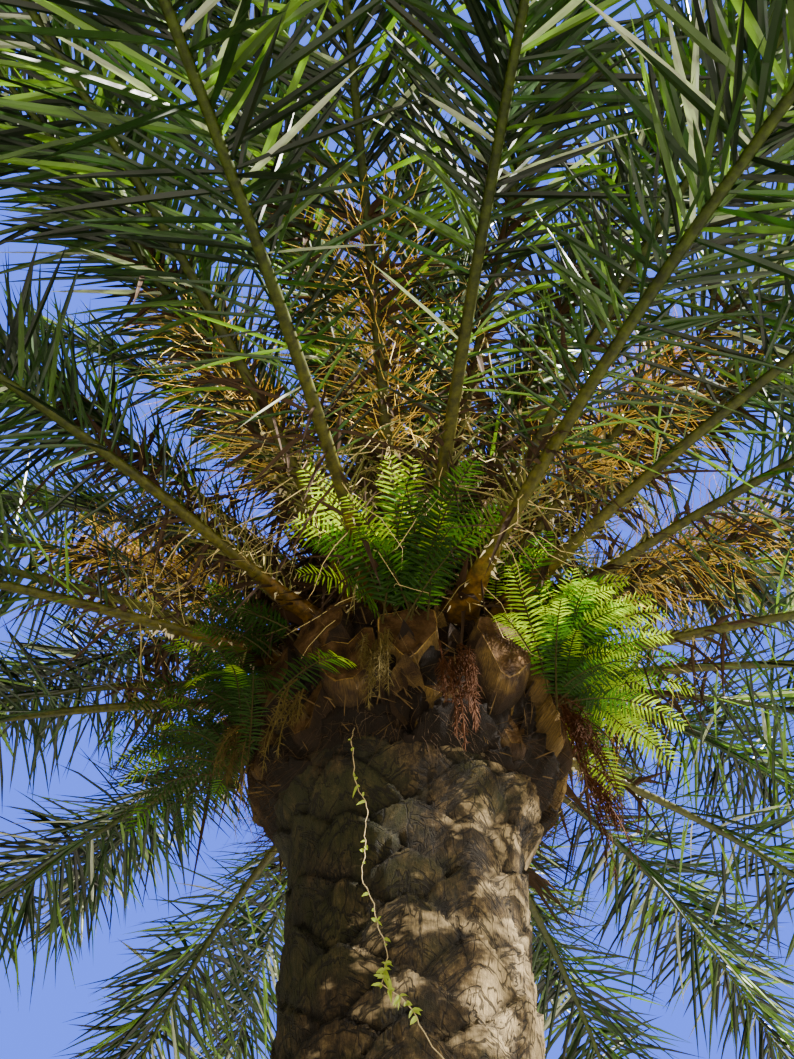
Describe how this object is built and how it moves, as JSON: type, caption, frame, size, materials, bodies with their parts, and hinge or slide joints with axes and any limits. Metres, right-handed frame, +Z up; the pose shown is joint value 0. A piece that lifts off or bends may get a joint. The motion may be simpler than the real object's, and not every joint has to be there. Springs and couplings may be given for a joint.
{
  "type": "date palm tree",
  "caption": "Date palm rooted in the ground: scarred trunk, bulb of cut leaf bases with ferns on it, and a round crown of arching feather fronds with fruit stalks.",
  "frame": {"origin": "middle of the trunk's flat cut at ground level", "axes": "+Z up along the trunk, -Y towards the front of the palm"},
  "size_m": [9.3814, 9.3025, 7.2322],
  "materials": {
    "bark": "grey-brown weathered bark with old leaf scars",
    "leaf_base": "cut leaf bases, dark brown with tan fibrous edges and orange-brown cut faces",
    "leaf": "leathery green leaflets on olive ribs",
    "fruit_stalk": "golden brown dry strands on a flat stalk",
    "fern": "thin fresh yellow-green fern fronds"
  },
  "bodies": {
    "root": {"trunk": "bark", "leaf_base_bulb": "leaf_base", "spear_leaves": "leaf", "frond_14": "leaf", "frond_15": "leaf", "frond_16": "leaf", "frond_17": "leaf", "frond_18": "leaf", "frond_19": "leaf", "frond_20": "leaf", "frond_21": "leaf", "frond_22": "leaf", "frond_23": "leaf", "frond_24": "leaf", "frond_25": "leaf", "frond_26": "leaf", "frond_27": "leaf", "frond_28": "leaf", "frond_29": "leaf", "frond_30": "leaf", "frond_31": "leaf", "frond_32": "leaf", "frond_33": "leaf", "frond_34": "leaf", "frond_35": "leaf", "frond_36": "leaf", "frond_37": "leaf", "frond_38": "leaf", "frond_39": "leaf", "frond_40": "leaf", "frond_41": "leaf", "frond_42": "leaf", "frond_43": "leaf", "frond_44": "leaf", "frond_45": "leaf", "frond_46": "leaf", "frond_47": "leaf", "frond_48": "leaf", "frond_49": "leaf", "frond_50": "leaf", "frond_51": "leaf", "frond_52": "leaf", "frond_53": "leaf", "frond_54": "leaf", "frond_55": "leaf", "frond_56": "leaf", "frond_57": "leaf", "frond_58": "leaf", "fruit_stalk_1": "fruit_stalk", "fruit_stalk_2": "fruit_stalk", "fruit_stalk_3": "fruit_stalk", "fruit_stalk_4": "fruit_stalk", "fruit_stalk_5": "fruit_stalk", "fruit_stalk_6": "fruit_stalk", "fruit_stalk_7": "fruit_stalk", "fruit_stalk_8": "fruit_stalk", "fern_front": "fern", "fern_front_right": "fern", "fern_left": "fern", "fern_right": "fern"}
  },
  "joints": []
}
